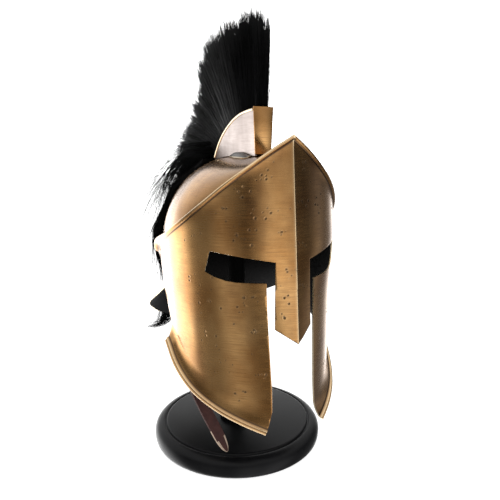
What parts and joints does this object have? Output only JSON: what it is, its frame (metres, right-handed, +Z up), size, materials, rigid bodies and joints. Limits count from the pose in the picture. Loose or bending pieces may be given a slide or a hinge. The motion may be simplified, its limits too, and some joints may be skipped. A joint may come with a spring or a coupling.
{
  "type": "greek bronze helmet with horsehair crest on a plain display stand",
  "caption": "Full-face Greek type sheet-bronze helmet with nasal, cheek plates, nape guard, channel-held horsehair crest and chin strap, on a turned disc stand.",
  "frame": {"origin": "centre of the underside of the stand's disc", "axes": "+Z up, -Y the way the helmet faces, -X the wearer's right side"},
  "size_m": [0.2, 0.2821, 0.489],
  "materials": {
    "black_wood": "satin black lacquer on turned wood",
    "bronze": "antiqued brushed bronze, brown in the hollows, bright along worn edges",
    "dark_metal": "blackened sheet",
    "horsehair": "black dyed horsehair",
    "leather": "dark red-brown strap leather with pale cut edges"
  },
  "bodies": {
    "root": {"stand_base": "black_wood", "stand_post": "black_wood", "skull_shell": "bronze", "face_plate": "bronze", "crest_holder": "bronze", "crest_tab_right": "dark_metal", "crest_tab_left": "dark_metal", "crest_plume": "horsehair", "plume_tail": "horsehair", "chin_strap": "leather"}
  },
  "joints": []
}
